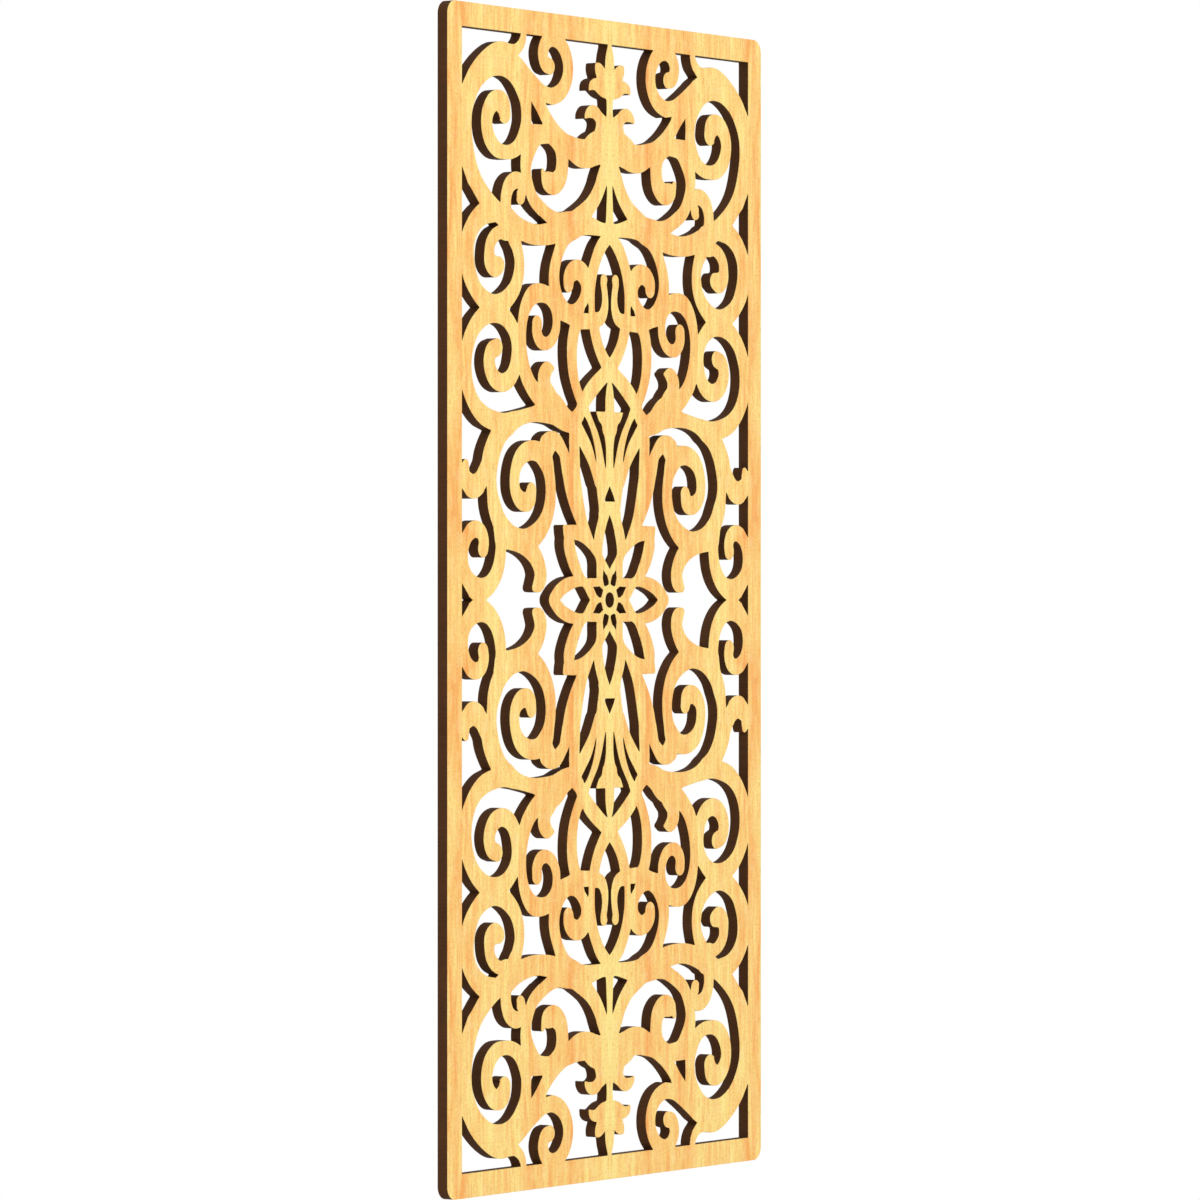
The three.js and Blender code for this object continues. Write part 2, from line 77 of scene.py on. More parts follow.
# The pattern of one quarter. Each knot is [x, z, half width], from the
# panel's middle. A ribbon runs smoothly through its knots and has round ends.
ribbons = {
    "upperStem": [
        [0, 612, 2.4], [0, 600, 4.3], [0, 591, 7.2], [0, 582, 8.6], [0, 570, 9], [0, 553, 7.6],
        [0, 540, 5.8], [0, 527, 5.9], [0, 505, 8],
    ],
    "lowerStem": [
        [0, 485, 8], [0, 468, 5], [0, 450, 4.9], [0, 430, 5.9], [0, 412, 7.1], [0, 398, 8.5],
    ],
    "finialLeaf": [
        [2, 556, 9], [12, 566.5, 9.5], [19.5, 574.5, 8], [24.5, 579.5, 3.2],
    ],
    "finialSideLeaf": [
        [0, 553, 9.3], [14, 556, 9.8], [26, 559, 7], [34, 557.5, 5], [38.6, 553, 1.4],
    ],
    "stemLeaf": [
        [0, 508, 14], [13.5, 515.5, 11.5], [19.7, 522.6, 8], [28, 528.4, 7.6], [37, 528.5, 6.5],
        [43.5, 525, 3.8], [46.4, 521.8, 1.2],
    ],
    "arm": [
        [0, 490.5, 18.5], [20, 491, 18.6], [30, 488.5, 18.1], [42, 483.2, 16], [56, 482.8, 15.5],
        [72, 487, 13.2], [88, 493.5, 10.6], [105, 504, 9.6], [121.5, 518.5, 9.1], [130, 528.5, 9.2],
        [141, 541.5, 11.5], [158, 553, 15],
    ],
    "crownScroll": [
        [186, 402.5, 13.5], [208, 411, 11.5], [231, 425, 11.6], [247, 440, 11.3], [258.3, 454, 13],
        [265.5, 475, 12.6], [269.4, 500, 12.6], [267.8, 523, 14.1], [250.3, 551, 13.9], [226, 568.5, 15.7],
        [205, 574.5, 18.3], [192, 572.8, 18.2], [179, 563.4, 14.4], [167, 551.8, 13.5], [158.2, 533, 10.6],
        [156.6, 512, 9.4], [159.3, 499, 10.5], [164.8, 489.8, 10.1], [173, 482.2, 8.9], [185, 476.9, 8],
        [198, 475.8, 7.8], [212.3, 478.8, 9.2], [224.5, 489.7, 10.4], [229.3, 505, 10], [226.4, 518, 10.3],
        [217, 528, 11], [207, 530, 11.3], [200.5, 526.5, 12.8], [197, 517.3, 11.4],
    ],
    "crownNeck": [
        [162, 610, 4.6], [162.4, 600, 5.3], [167.5, 591.2, 6.2], [180.5, 580.6, 9],
    ],
    "topVolute": [
        [174.5, 564.5, 15.7], [158, 554, 15], [141, 546, 13.2], [126, 541.8, 10.4], [108, 540.8, 9.3],
        [90.6, 548.2, 9.6], [80.6, 562, 9.3], [79.2, 577, 9.2], [85.6, 591.5, 9.3], [97, 600.8, 9.2],
        [110, 602.9, 9.2], [120.7, 597.5, 9], [126, 586, 9.2], [121.8, 575, 9.1], [113.2, 572.5, 9],
    ],
    "shoulderScroll": [
        [86, 492.5, 8.5], [104, 500, 11.2], [120, 499.4, 10.3], [137.5, 497.6, 12], [150.4, 484.6, 12.4],
        [157.5, 466, 10], [156.2, 452, 8.8], [145.3, 430.3, 8.8], [128, 418.3, 8.6], [109, 408.8, 9.8],
        [88, 402.5, 13.5],
    ],
    "shoulderHook": [
        [98, 494.5, 12], [91, 483, 11.6], [90, 468, 11], [93.6, 455, 11.7], [104.5, 447.3, 12.2],
        [116, 448.4, 11.2], [122.5, 452.2, 6.2], [126, 458.8, 3.4],
    ],
    "smallVolute": [
        [191, 402, 9.5], [194.8, 414, 10.6], [194.3, 427, 9.5], [188.6, 440.3, 9.6], [177, 446.9, 9.3],
        [167, 445.5, 8.5], [164.3, 438, 7.2], [167.5, 429.6, 8.2],
    ],
    "beam": [
        [0, 401.5, 9], [12, 402, 7.5], [28, 404, 8.9], [42, 406, 11.1], [54, 407.3, 13.7], [68, 405, 14.6],
        [90, 401.7, 15.1], [108, 395.7, 13.7], [125, 391.4, 11.6], [145, 391.1, 11.3], [165, 394.8, 11.7],
        [186, 402.5, 12],
    ],
    "shoulderBrace": [
        [0, 477, 9], [7.5, 467, 10.8], [13.5, 456.6, 10.9], [18.6, 447.9, 10], [26.6, 436.8, 9.9],
        [37.2, 426.5, 10.1], [54, 414.5, 12],
    ],
    "middleScroll": [
        [178, 398, 10], [181, 388.5, 10.7], [174.3, 376.5, 9.4], [169.5, 361, 8.7], [171.4, 345, 9.5],
        [178, 332.2, 9.9], [188.5, 322.5, 10.5], [200.5, 315.5, 11.3], [216, 312.3, 11.8], [233, 317, 11.2],
        [249, 328, 10.7], [259.5, 342.5, 12.1], [265, 360, 12.8], [263.5, 379, 12.3], [256.5, 391.8, 11.7],
        [247.3, 401.2, 11.8], [234, 408.8, 12.1], [216, 412, 11.6],
    ],
    "middleHook": [
        [180, 397, 11], [193, 391.3, 9.7], [205, 390.3, 7.5], [215, 385.8, 7.9], [222.3, 377.5, 8.4],
        [224.3, 366.5, 9.2], [222, 357.5, 10.9], [214.5, 353.6, 11.7], [206.3, 355.2, 9.3],
    ],
    "lyreScroll": [
        [66, 403.5, 14.2], [80, 394.8, 11.2], [90.4, 383.9, 9.5], [98.3, 370.7, 8.8], [104.1, 356, 9.3],
        [105.2, 342, 9.9], [101, 327.8, 10.5], [91.5, 316, 10.4], [79, 310.1, 9.4], [65.5, 312.2, 7.9],
        [53.2, 320.7, 7.8], [45.3, 332, 9.2], [45, 343, 10.2], [51, 352.6, 11.6], [61, 356.5, 11.2],
        [71.3, 353.7, 10.9], [77.3, 347.2, 10], [78.2, 340.3, 9],
    ],
    "lyreStrap": [
        [93, 311, 10], [77, 306.2, 9], [62, 302.3, 9.4], [46, 301.6, 8.8], [32, 303, 9], [22.5, 304, 7.6],
    ],
    "lilyArc": [
        [0, 394.6, 7.3], [7, 391.2, 8.1], [17.5, 382, 8.9], [26.7, 368, 8.7], [33.7, 352, 9],
        [37.2, 336, 8.9], [35.2, 322, 6.4], [33.7, 308, 5.3],
    ],
    "stamen": [
        [24.5, 303, 8], [15.3, 307, 7.9], [10, 316, 6.8], [8.7, 326, 5.7], [10, 336, 5.4], [11.6, 343, 5.7],
        [11, 347.7, 6.3],
    ],
    "calyx": [
        [31, 303, 9], [27.8, 290, 8.9], [22.2, 276.5, 8.7], [12.7, 263, 9], [0, 250.5, 9.8],
    ],
    "crossing": [
        [0, 250.5, 9.8], [15, 241.3, 9.5], [27, 233.3, 10.1], [39, 223.8, 10.2], [48, 214.5, 9.4],
        [54, 207, 9],
    ],
    "outerPetal": [
        [58, 303, 9.5], [65.8, 293.5, 9.6], [70.6, 279, 9.5], [71.7, 263, 9.1], [69.4, 245, 8.5],
        [63.5, 229.3, 7.7], [55.2, 216.5, 7.8], [47, 206.5, 7], [40.8, 199, 5.2], [34.3, 190, 4.8],
        [28, 180, 5.5], [23.5, 170, 6], [20.2, 160, 6.5], [17.5, 148, 7.4], [15, 136, 8.7],
    ],
    "vase": [
        [0, 131.5, 9], [0, 146, 6.9], [0, 156, 6.8], [0, 165, 7], [0, 174, 8.5], [0, 183, 11.2],
        [0, 190, 15.2],
    ],
    "vaseShoulder": [
        [0, 196, 8.5], [14, 197.8, 6.7], [20, 200.8, 3.7], [24.4, 203.4, 1.1],
    ],
    "spire": [
        [0, 196, 8.2], [0, 217, 8.1], [0, 228, 6.3], [0, 238, 3.4], [0, 247, 4],
    ],
    "mainStem": [
        [60, 200, 8.5], [65.3, 189, 9.8], [67.2, 174, 9.7], [67.8, 162, 10.1], [73, 147.5, 16.2],
        [72, 133, 16], [68.4, 120, 15.2], [64.5, 109, 13.8], [60, 98.5, 12.1], [54.8, 88, 10.1],
        [49.2, 78.5, 9], [42.3, 68.3, 8.3], [34.5, 60.4, 5.6], [26.5, 55, 5.6],
    ],
    "lobe": [
        [77, 139, 13], [83, 149, 9.9], [88.4, 159.3, 8.2], [101.3, 170.3, 9.9], [114.7, 171.2, 9.7],
        [121.8, 167.9, 9.7],
    ],
    "lobeWeb": [
        [112, 163, 4.5], [117, 157, 8.5],
    ],
    "sideLeaf": [
        [63.7, 187.2, 9.6], [54.7, 177.7, 9.4], [43.3, 164.7, 9], [37.8, 156.8, 7.9], [33, 148.6, 6.7],
        [28.3, 140.2, 6.6], [22, 129, 7.2],
    ],
    "innerSepal": [
        [20.6, 138, 9.4], [16.5, 128.5, 10], [14, 119, 10.3], [16, 111.5, 6.8], [14.6, 104, 6.6],
        [12.1, 94, 8.2], [13, 86, 8.8], [17.2, 76.5, 8.6], [20.6, 66.5, 8.7], [22, 57, 8.2], [20, 47, 6.6],
        [12.2, 37.7, 6.2], [4, 31.6, 4.6],
    ],
    "sepalBridge": [
        [0, 99.6, 8.2], [8, 98.5, 8.4], [14, 93, 7],
    ],
    "mainArc": [
        [58, 200, 9], [71, 191.8, 11], [86, 195, 13.3], [104, 201.5, 14], [122, 202, 12.4], [141, 199, 8.8],
        [156, 196.6, 8.1], [171, 193.2, 8.9], [188, 187.3, 12], [204, 177.4, 13.1], [215.9, 163, 14.1],
        [223.2, 146, 14.6], [223.2, 128, 11.6], [219.3, 113, 9.7], [214.9, 99, 11.7], [207.6, 85.6, 12],
        [192.5, 73, 11.5], [176.5, 66, 11.6], [160, 64.3, 11.7], [144.5, 67.3, 12.6], [134.5, 72.6, 12.1],
        [125.5, 80.2, 11.2], [117.2, 91.7, 10.3], [112.3, 106.5, 9.7], [111.7, 121.5, 9.2], [114.9, 137, 9.8],
        [121.2, 150, 12.6], [134, 158.2, 11.4], [148, 159.8, 10.8], [159, 157.2, 10.7], [168.8, 151.1, 10.1],
        [175.8, 140.7, 9], [178.6, 127, 8.7], [176.5, 115.5, 9.1], [169.4, 107.7, 10.1], [160, 104.6, 10.5],
        [151.2, 106.7, 10.7], [147.2, 117.1, 8.7],
    ],
    "innerScroll": [
        [84, 195, 11.5], [100, 206.5, 14], [116, 213.5, 13.5], [133.5, 218.8, 11.8], [147, 227.9, 10.6],
        [157, 240, 10.6], [163.2, 255, 10.1], [166, 272, 9.1], [165, 289, 8], [161.8, 304.4, 8.8],
        [155, 317.1, 10], [144, 326.2, 11], [129.5, 328.7, 10.2], [115, 325.7, 9.6], [104.2, 316.2, 8.8],
        [100.9, 303, 7], [101.8, 291, 7.3], [108.8, 279.9, 7.3], [120.5, 274.8, 7.2], [131, 277.4, 8.2],
        [137, 286, 8.6], [136.8, 295.7, 8.9],
    ],
    "spur": [
        [113.5, 218, 12.6], [122.3, 229, 11.4], [123.3, 240.5, 11.2], [117.6, 247.1, 8.8], [107, 248.8, 2.2],
    ],
    "lowerScroll": [
        [188, 187, 12], [203, 187.5, 11.4], [218, 190.3, 10.9], [235, 195.5, 10.9], [248, 203.9, 10.4],
        [258, 215.2, 10.2], [265.3, 230, 10.8], [267.8, 246, 11], [266.2, 260.5, 10.9], [261.3, 273.3, 10.7],
        [254.3, 284.5, 10.3], [243.5, 294.8, 10.6], [229.5, 302.4, 11.2], [213, 305.3, 11.6],
        [198, 301.8, 10.7], [185.5, 293.2, 9.9], [176.3, 281.5, 10.2], [172.4, 267.5, 11], [174.5, 254, 11],
        [178.8, 244.8, 10.2], [187.3, 235.2, 10.1], [202, 230.6, 10], [216.8, 236.2, 10.4],
        [224.5, 251, 10.2], [220.8, 263.3, 10.1], [210, 268.1, 9.5],
    ],
    "edgeArch": [
        [228, 139, 13], [240, 125.5, 12.5], [253, 119.8, 13], [266, 124.6, 12.2], [278, 132.5, 12.3],
    ],
    "edgeThorn": [
        [277, 129, 12], [270.3, 135.2, 9.4], [266.7, 143.8, 4.8],
    ],
    "edgeScroll": [
        [208, 85, 10], [206.2, 73, 9.8], [203.7, 60, 9.3], [204.3, 47.5, 9.7], [208, 34.5, 10.2],
        [215, 23.5, 10.5], [226, 14.8, 11.1], [243, 10.5, 13], [259.8, 17.7, 12], [271, 29.5, 11.6],
        [274.8, 46, 11.4], [270.7, 60.5, 10.6], [262, 70, 9.5], [249.6, 74.9, 9.2], [238.8, 71.3, 9.1],
        [234.4, 61.5, 9], [235.7, 54, 9.1],
    ],
    "tendril": [
        [203, 66, 11.5], [190, 65.5, 12], [172, 63.5, 12.7], [155, 56.8, 11.8], [140.5, 46.9, 11.4],
        [132.5, 35.5, 11], [130.3, 26, 11], [132.6, 19.3, 10.5], [141.2, 13.2, 4.7],
    ],
    "widePetal": [
        [106, 0, 8.6], [98.2, 7.3, 8.6], [89.2, 12.9, 8.1], [78.7, 16.8, 7.6], [67, 19.3, 6.4],
        [56, 20, 5.4], [49, 19.7, 5.6], [43, 16, 6.4], [36.4, 9, 6.8], [30.5, 2, 6.2], [26, -3, 4],
    ],
    "slantPetal": [
        [19, 28, 6.2], [19, 40, 6.1], [21.5, 48.3, 6.1], [31.3, 57.2, 6], [41, 65, 7.6], [52.5, 71, 8.6],
        [65, 72.8, 8.3], [74, 70.5, 8.8], [77.2, 61.5, 9.9], [71.2, 45, 9.7], [63.9, 33.5, 8.7],
        [55.5, 23.8, 7], [46, 19, 4.8], [35, 18.8, 4.9], [24, 18.8, 4.8],
    ],
    "slantPetalTip": [
        [70, 74, 7], [75.8, 70.8, 10.1], [85.7, 78.1, 2.9],
    ],
    "slantVein": [
        [9, 9, 4], [14.5, 15.3, 3.8], [19, 22, 6],
    ],
    "wideVein": [
        [12, 0, 3.2], [20, 0, 2.8], [27.5, 0, 6],
    ],
    "tallVein": [
        [0, 12, 4], [0, 18, 1.5], [0, 25, 3.7], [0, 31, 5.8],
    ],
    # Finer wood beside sharp corners
    "budCheek": [[2.5, 125.7, 3], [7.5, 118.4, 3]],
    "dropCheek": [[2.6, 94.3, 3], [6.6, 87.4, 3]],
    "petalCheek": [[70.2, 64.2, 3], [66.8, 51.2, 3]],
    "lyreCheek": [[51.3, 314, 3], [53.3, 311.5, 3]],
    "triangleFoot": [[150, 505.6, 3], [140, 505.4, 3.2]],
    "scrollFill": [[103.5, 486.5, 3], [112, 491.5, 3]],
    "crownFill": [[178, 583, 8.4], [190, 583, 8.6]],
    "lobeCheek": [[106.3, 162.2, 3], [110.7, 156.7, 3]],
    "leafCheek": [[22.6, 513.5, 3.3], [26, 506.8, 3]],
    "braceFill": [[58, 412.6, 12], [66, 409.3, 11.4]],
}

# Openings that the saw left with sharp corners: outlines of [x, z], clockwise and
# without hollows, taken out last
sharpCorners = {
    "bud": [[-10.2, 107], [-8, 112.3], [0, 124], [8, 112.3], [10.2, 107]],
    "dropTop": [[-9.2, 74.5], [-5.4, 83.5], [0, 92.8], [5.4, 83.5], [9.2, 74.5], [0, 60]],
    "dropFoot": [[-8.2, 43.2], [0, 50], [8.2, 43.2], [0, 33.4]],
    "petalTip": [[54, 61.9], [67.8, 65.4], [63.9, 52], [56, 52]],
    "archTip": [[76.6, 168], [82, 165.5], [76.6, 156.8]],
    "edgeTop": [[227.9, 107.5], [229.2, 121], [233, 117], [238, 110]],
    "edgeCorner": [[264.5, 109.6], [274, 118], [274, 108]],
    "edgeFoot": [[265, 79], [274, 84], [274, 69.8]],
    "edgeMiddle": [[261, 4.5], [274, 18], [274, 2]],
    "lyreCorner": [[39.8, 318.5], [41.8, 321.6], [49.8, 310.3], [40, 310.3]],
    "shoulderTriangle": [[126.5, 510], [147.6, 533], [148.2, 520], [147.4, 508.8], [128, 509.2]],
    "crownTip": [[161, 574.6], [161, 589], [171.5, 580]],
    "crownCorner": [[262, 559], [274, 562], [274, 542.3]],
    "archCorner": [[263.2, 439.6], [274, 457.3], [274, 438]],
    "scrollFoot": [[203.2, 434], [212, 430], [204.2, 421.5]],
    "armTip": [[108, 531.3], [121, 533], [118.5, 530], [108, 525]],
    "stemTop": [[5.2, 438], [5.4, 451.5], [13.2, 438]],
    "voluteEye": [[204.5, 510.5], [207.8, 516.6], [212, 518.2], [216, 515], [210, 508]],
    "hookThumb": [[173.8, 437], [177, 437], [176, 425.5], [174.6, 426]],
    "hookTip": [[117.8, 404.3], [132, 411.3], [132, 402]],
    "upperSlit": [[1.8, 17.4], [4.2, 25], [12.2, 33], [12.8, 25], [11.2, 16], [8.5, 14.8]],
    "sideSlit": [[12.4, 10.8], [19, 14.6], [32, 14.2], [25, 6.2], [16.2, 2.2]],
}


def smoothPath(knots):
    # Evenly spaced points on a smooth curve through the knots, widths included
    points = np.array(knots, float)
    ends = np.vstack([2 * points[0] - points[1], points, 2 * points[-1] - points[-2]])
    t = np.linspace(0, 1, board["curvePoints"], endpoint=False)[:, None]
    fine = []
    for a, b, c, d in zip(ends, ends[1:], ends[2:], ends[3:]):
        ab, bc, cd = [math.sqrt(np.linalg.norm(q - p)) for p, q in ((a, b), (b, c), (c, d))]
        leaving = ((b - a) / ab - (c - a) / (ab + bc) + (c - b) / bc) * bc
        arriving = ((c - b) / bc - (d - b) / (bc + cd) + (d - c) / cd) * bc
        square = 3 * (c - b) - 2 * leaving - arriving
        cube = 2 * (b - c) + leaving + arriving
        fine.append(b + leaving * t + square * t ** 2 + cube * t ** 3)
    fine = np.vstack([*fine, points[-1:]])
    run = np.concatenate([[0], np.cumsum(np.linalg.norm(np.diff(fine, axis=0), axis=1))])
    steps = np.linspace(0, run[-1], math.ceil(run[-1] / board["linkLength"]) + 1)
    return np.column_stack([np.interp(steps, run, fine[:, k]) for k in range(3)])


def softMin(a, b):
    # The lesser of two clearances, eased where they are close, which leaves a small fillet
    blend = 4 * board["sawRadius"]
    with np.errstate(invalid="ignore"):
        closeness = np.nan_to_num(np.maximum(blend - np.abs(a - b), 0) / blend)
    return np.minimum(a, b) - closeness ** 2 * blend / 8


def ribbonClearance(knots, acrossGrid, upGrid):
    # How far each grid node lies outside the ribbon, wherever that is near enough to count
    clearance = np.full((len(upGrid), len(acrossGrid)), np.inf)
    path = smoothPath(knots)
    for start, end in zip(path, path[1:]):
        margin = max(start[2], end[2]) + 6 * board["sawRadius"] + board["gridStep"]
        low = np.minimum(start[:2], end[:2]) - margin
        high = np.maximum(start[:2], end[:2]) + margin
        columns = slice(*np.searchsorted(acrossGrid, [low[0], high[0]]))
        rows = slice(*np.searchsorted(upGrid, [low[1], high[1]]))
        x = acrossGrid[None, columns] - start[0]
        z = upGrid[rows, None] - start[1]
        run = end[:2] - start[:2]
        share = np.clip((x * run[0] + z * run[1]) / run.dot(run), 0, 1)
        radius = start[2] + (end[2] - start[2]) * share
        outside = np.hypot(x - run[0] * share, z - run[1] * share) - radius
        window = clearance[rows, columns]
        np.minimum(window, outside, out=window)
    return clearance


def cornerDepth(corners, acrossGrid, upGrid):
    # How deep each grid node lies inside an outline that runs clockwise and has no hollow
    depth = np.full((len(upGrid), len(acrossGrid)), np.inf)
    for (x, z), (nextX, nextZ) in zip(corners, corners[1:] + corners[:1]):
        length = math.hypot(nextX - x, nextZ - z)
        rightward = (acrossGrid[None, :] - x) * (nextZ - z) - (upGrid[:, None] - z) * (nextX - x)
        depth = np.minimum(depth, rightward / length)
    return depth


def fieldClearance():
    # The whole field: above zero in an opening, below zero in wood
    step = board["gridStep"]
    acrossGrid = np.arange(math.ceil(fieldHalf[0] / step) + 2) * step
    upGrid = np.arange(math.ceil(fieldHalf[1] / step) + 2) * step
    fromMiddle = np.hypot(acrossGrid[None, :], upGrid[:, None])
    ringRadius = board["eyeRadius"] + board["eyeRingWidth"] / 2
    wood = np.abs(fromMiddle - ringRadius) - board["eyeRingWidth"] / 2
    for knots in ribbons.values():
        wood = softMin(wood, ribbonClearance(knots, acrossGrid, upGrid))
    rails = np.minimum(fieldHalf[0] - acrossGrid[None, :], fieldHalf[1] - upGrid[:, None])
    quarter = np.maximum(np.minimum(wood, rails), board["eyeRadius"] - fromMiddle)
    for corners in sharpCorners.values():
        quarter = np.maximum(quarter, cornerDepth(corners, acrossGrid, upGrid))
    upper = np.hstack([quarter[:, :0:-1], quarter])
    return np.vstack([upper[:0:-1], upper])


def openingLoops():
    # Follows the line of zero clearance from cell to cell, the opening on its left
    clearance = fieldClearance()
    isOpen = clearance > 0
    count = isOpen[:-1, :-1].astype(int) + isOpen[:-1, 1:] + isOpen[1:, 1:] + isOpen[1:, :-1]
    points = {}
    following = {}
    for row, column in zip(*np.nonzero((count > 0) & (count < 4))):
        corners = [(row, column), (row, column + 1), (row + 1, column + 1), (row + 1, column)]
        values = [clearance[corner] for corner in corners]
        crossings = []
        for side in range(4):
            here, there = values[side], values[(side + 1) % 4]
            if (here > 0) == (there > 0):
                continue
            start, end = corners[side], corners[(side + 1) % 4]
            key = (start[0] + end[0], start[1] + end[1])
            share = here / (here - there)
            points[key] = (start[1] + (end[1] - start[1]) * share, start[0] + (end[0] - start[0]) * share)
            crossings.append((side, key, here > 0))
        turns = (1, 2, 3) if sum(values) > 0 else (3, 2, 1)
        for side, key, leaving in crossings:
            if leaving:
                partners = {other: there for other, there, out in crossings if not out}
                following[key] = next(partners[(side + k) % 4] for k in turns if (side + k) % 4 in partners)
    middle = (np.array(clearance.shape[::-1]) - 1) / 2
    loops = []
    while following:
        key = next(iter(following))
        loop = []
        while key in following:
            loop.append(points[key])
            key = following.pop(key)
        loops.append((np.array(loop) - middle) * board["gridStep"])
    return loops


def thinned(points):
    # Keeps the points that the run needs to stay within the tolerance
    keep = np.zeros(len(points), bool)
    keep[[0, -1]] = True
    spans = [(0, len(points) - 1)]
    while spans:
        first, last = spans.pop()
        if last - first < 2:
            continue
        chord = points[last] - points[first]
        offset = points[first + 1:last] - points[first]
        away = np.abs(offset[:, 0] * chord[1] - offset[:, 1] * chord[0]) / max(np.hypot(*chord), 1e-9)
        if away.max() > board["tolerance"]:
            split = first + 1 + int(away.argmax())
            keep[split] = True
            spans += [(first, split), (split, last)]
    return points[keep]


def tidyLoop(loop):
    # Starts the loop at its point farthest from the panel's middle, and thins it
    loop = np.roll(loop, -int(np.hypot(*loop.T).argmax()), axis=0)
    far = int(np.hypot(*(loop - loop[0]).T).argmax())
    closed = np.vstack([loop, loop[:1]])
    return np.vstack([thinned(closed[:far + 1])[:-1], thinned(closed[far:])[:-1]])


def boardOutline():
    # The outer edge, clockwise, so that the wood is on its right as in the openings
    radius = board["cornerRadius"]
    x = board["width"] / 2 - radius
    z = board["height"] / 2 - radius
    corners = [(x, z, 90), (x, -z, 0), (-x, -z, -90), (-x, z, -180)]
    turns = np.radians(np.linspace(0, -90, board["cornerLinks"] + 1))
    return np.array([(cx + radius * math.cos(math.radians(start) + turn),
                      cz + radius * math.sin(math.radians(start) + turn))
                     for cx, cz, start in corners for turn in turns])


def towardWood(loop):
    # At each point, the step into the wood that shifts both edges by one unit, at most two long
    run = np.roll(loop, -1, axis=0) - loop
    run /= np.hypot(*run.T)[:, None]
    right = np.column_stack([run[:, 1], -run[:, 0]])
    both = right + np.roll(right, 1, axis=0)
    both /= np.maximum(np.hypot(*both.T), 1e-6)[:, None]
    return both / np.maximum((both * right).sum(axis=1), 0.5)[:, None]


def outlineObject():
    # Every loop as edges flat in the XY plane, in metres, ready for the saw tree
    loops = [boardOutline(), *[tidyLoop(loop) for loop in openingLoops()]]
    starts = np.cumsum([0, *[len(loop) for loop in loops]])
    edges = [(start + k, start + (k + 1) % len(loop))
             for start, loop in zip(starts, loops) for k in range(len(loop))]
    flat = np.vstack(loops) / 1000
    mesh = bpy.data.meshes.new("fretworkOutline")
    mesh.from_pydata([(x, z, 0) for x, z in flat], [(int(a), int(b)) for a, b in edges], [])
    inward = mesh.attributes.new("towardWood", "FLOAT_VECTOR", "POINT")
    steps = np.vstack([towardWood(loop) for loop in loops])
    inward.data.foreach_set("vector", np.column_stack([steps, np.zeros(len(steps))]).ravel())
    outline = bpy.data.objects.new("fretworkOutline", mesh)
    bpy.context.scene.collection.objects.link(outline)
    print("outline:", len(loops) - 1, "openings,", len(flat), "points")
    return outline


def plugIn(tree, plug, value):
    # Links a wire or a socket to the plug, or gives it a plain value
    source = getattr(value, "socket", value)
    if isinstance(source, bpy.types.NodeSocket):
        tree.links.new(source, plug)
    else:
        plug.default_value = value


# Shader maths as plain expressions
class Wire:
    def __init__(self, tree, socket):
        self.tree = tree
        self.socket = socket

    def node(self, kind, **inputs):
        # Makes any node with one output; the inputs are given by socket name
        made = self.tree.nodes.new(kind)
        for name, value in inputs.items():
            plugIn(self.tree, made.inputs[name], value)
        return Wire(self.tree, made.outputs[0])

    def maths(self, operation, *values, clamp=False):
        made = self.tree.nodes.new("ShaderNodeMath")
        made.operation = operation
        made.use_clamp = clamp
        for plug, value in zip(made.inputs, (self, *values)):
            plugIn(self.tree, plug, value)
        return Wire(self.tree, made.outputs[0])

    def __add__(self, other):
        return self.maths("ADD", other)

    def __mul__(self, other):
        return self.maths("MULTIPLY", other)

    def __sub__(self, other):
        return self.maths("SUBTRACT", other)

    def __rsub__(self, other):
        return (self * -1).maths("ADD", other)

    def __truediv__(self, other):
        return self.maths("DIVIDE", other)

    def __pow__(self, other):
        return self.maths("POWER", other)

    def __abs__(self):
        return self.maths("ABSOLUTE")

    def clipped(self):
        return self.maths("ADD", 0, clamp=True)

    def noise(self, x, y, z, detail=2, roughness=0.5):
        # Noise from 0 to 1 about a half, at a place given in its own units
        place = self.node("ShaderNodeCombineXYZ", X=x, Y=y, Z=z)
        return self.node("ShaderNodeTexNoise", Vector=place, Scale=1.0, Detail=detail, Roughness=roughness)

    def ramp(self, stops):
        # A smooth tone through (place, tone) pairs
        tone = self.node("ShaderNodeValToRGB", Fac=self)
        band = tone.socket.node.color_ramp
        band.interpolation = "EASE"
        while len(band.elements) < len(stops):
            band.elements.new(0.5)
        for element, (place, value) in zip(band.elements, stops):
            element.position = place
            element.color = (value, value, value, 1)
        return tone

    def bump(self, strength, depth):
        return self.node("ShaderNodeBump", Height=self, Strength=strength, Distance=depth)

    def tint(self, first, second):
        # A colour that goes from the first to the second as this goes from 0 to 1
        mix = self.tree.nodes.new("ShaderNodeMix")
        mix.data_type = "RGBA"
        for number, value in ((0, self), (6, first), (7, second)):  # the colour sockets are 6 and 7
            plugIn(self.tree, mix.inputs[number], value)
        return Wire(self.tree, mix.outputs[2])


def linear(red, green, blue):
    # A colour read off a screen, as the light it stands for
    channels = [value / 255 for value in (red, green, blue)]
    return (*[c / 12.92 if c <= 0.04045 else ((c + 0.055) / 1.055) ** 2.4 for c in channels], 1)


def startMaterial(name):
    material = bpy.data.materials.new(name)
    material.use_nodes = True
    tree = material.node_tree
    tree.nodes.clear()
    shader = tree.nodes.new("ShaderNodeBsdfPrincipled")
    output = tree.nodes.new("ShaderNodeOutputMaterial")
    tree.links.new(shader.outputs["BSDF"], output.inputs["Surface"])
    place = tree.nodes.new("ShaderNodeTexCoord")
    split = tree.nodes.new("ShaderNodeSeparateXYZ")
    tree.links.new(place.outputs["Object"], split.inputs[0])
    return material, shader, *[Wire(tree, socket) for socket in split.outputs]


